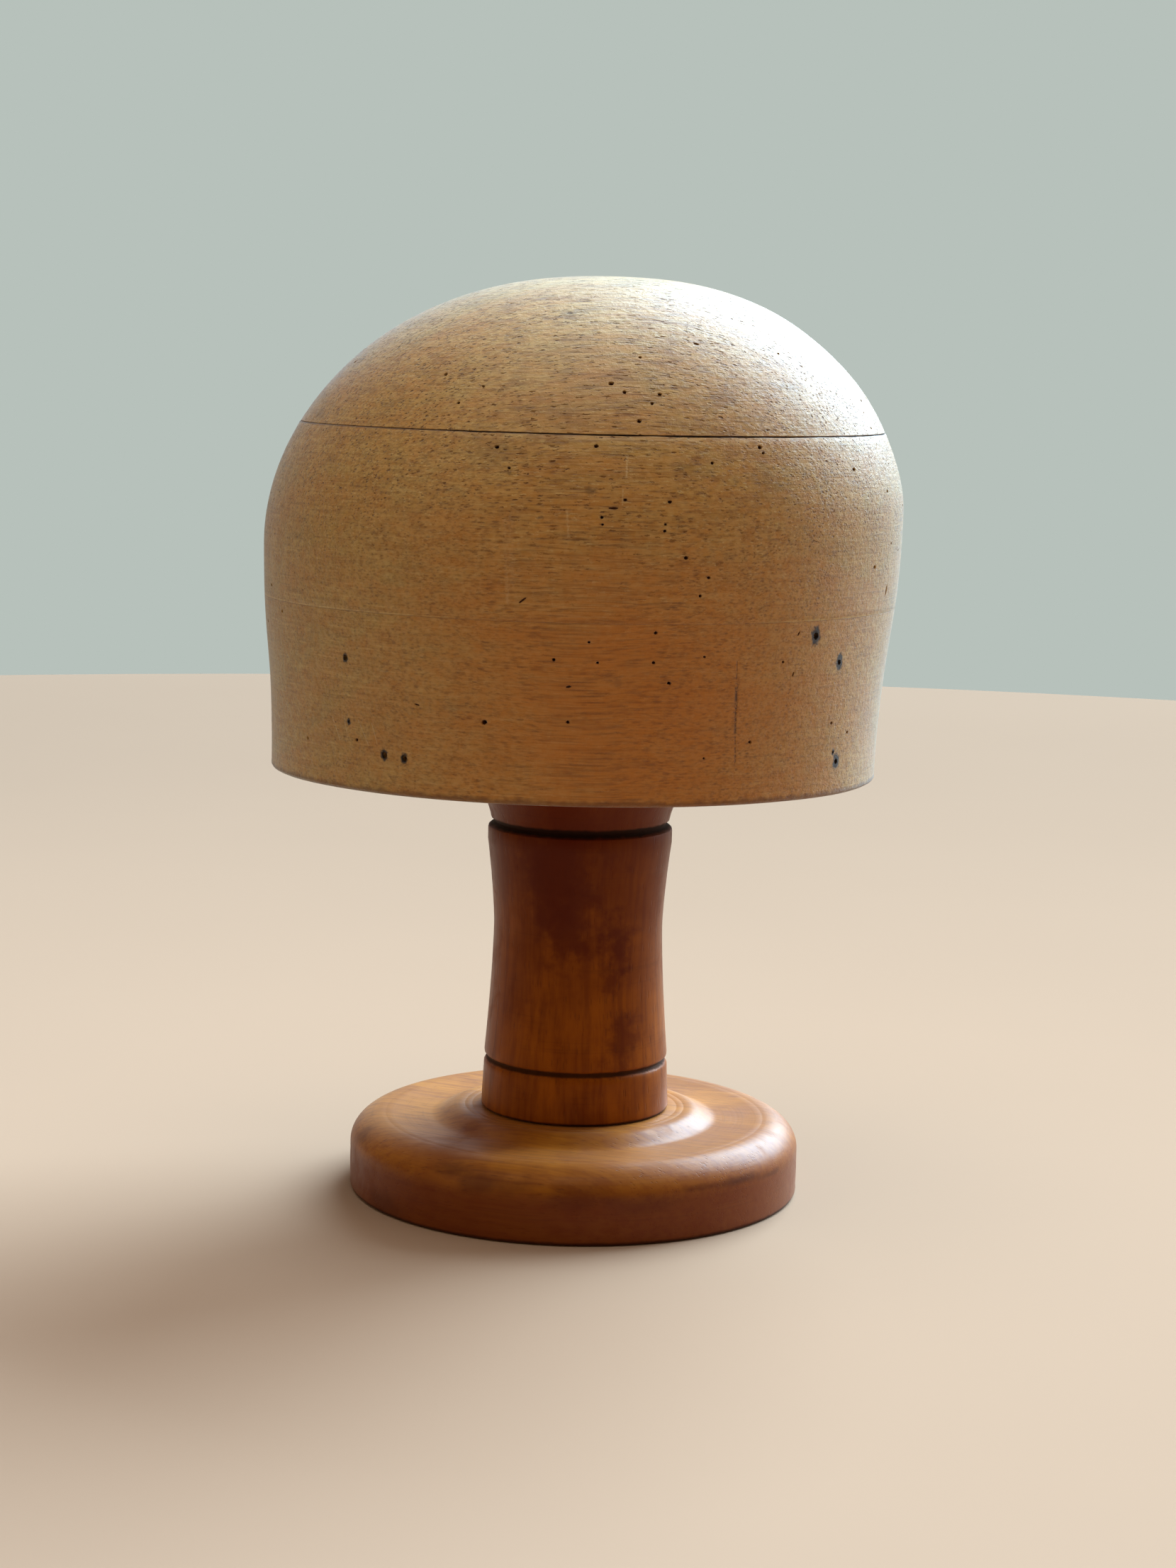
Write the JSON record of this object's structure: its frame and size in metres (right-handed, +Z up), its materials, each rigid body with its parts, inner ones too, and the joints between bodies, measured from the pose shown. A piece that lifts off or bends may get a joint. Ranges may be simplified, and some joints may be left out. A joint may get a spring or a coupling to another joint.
{
  "type": "hat block",
  "caption": "Wooden hat block: a domed oval crown of three glued boards that turns and lifts on a peg, on a turned waisted column with a round base.",
  "frame": {"origin": "centre of the base's underside, on the surface that the stand rests on", "axes": "+Z up along the column and peg; the crown's long axis lies along X, its front towards -X and its nape towards +X"},
  "size_m": [0.1916, 0.1648, 0.278],
  "materials": {
    "crown_wood": "worn honey-tan hardwood, dry satin, pin-pricked",
    "column_wood": "waxed red-brown hardwood, semi-gloss, grain upright",
    "base_wood": "waxed chestnut-brown hardwood, semi-gloss, worn rim",
    "peg_wood": "plain turned hardwood dowel, unpolished",
    "wedge_wood": "plain sawn hardwood, unpolished"
  },
  "bodies": {
    "stand": {"base": "base_wood", "column": "column_wood", "tenon_wedge": "wedge_wood"},
    "peg": {"peg": "peg_wood"},
    "crown": {"crown_board_bottom": "crown_wood", "crown_board_middle": "crown_wood", "crown_board_top": "crown_wood"}
  },
  "joints": [
    {"name": "crown_turn", "type": "hinge", "parent": "stand", "child": "peg", "pos_m": [0, 0, 0.1297], "axis": [0, 0, 1], "continuous": true},
    {"name": "crown_lift", "type": "slide", "parent": "peg", "child": "crown", "axis": [0, 0, 1], "range_m": [0, 0.06]}
  ]
}
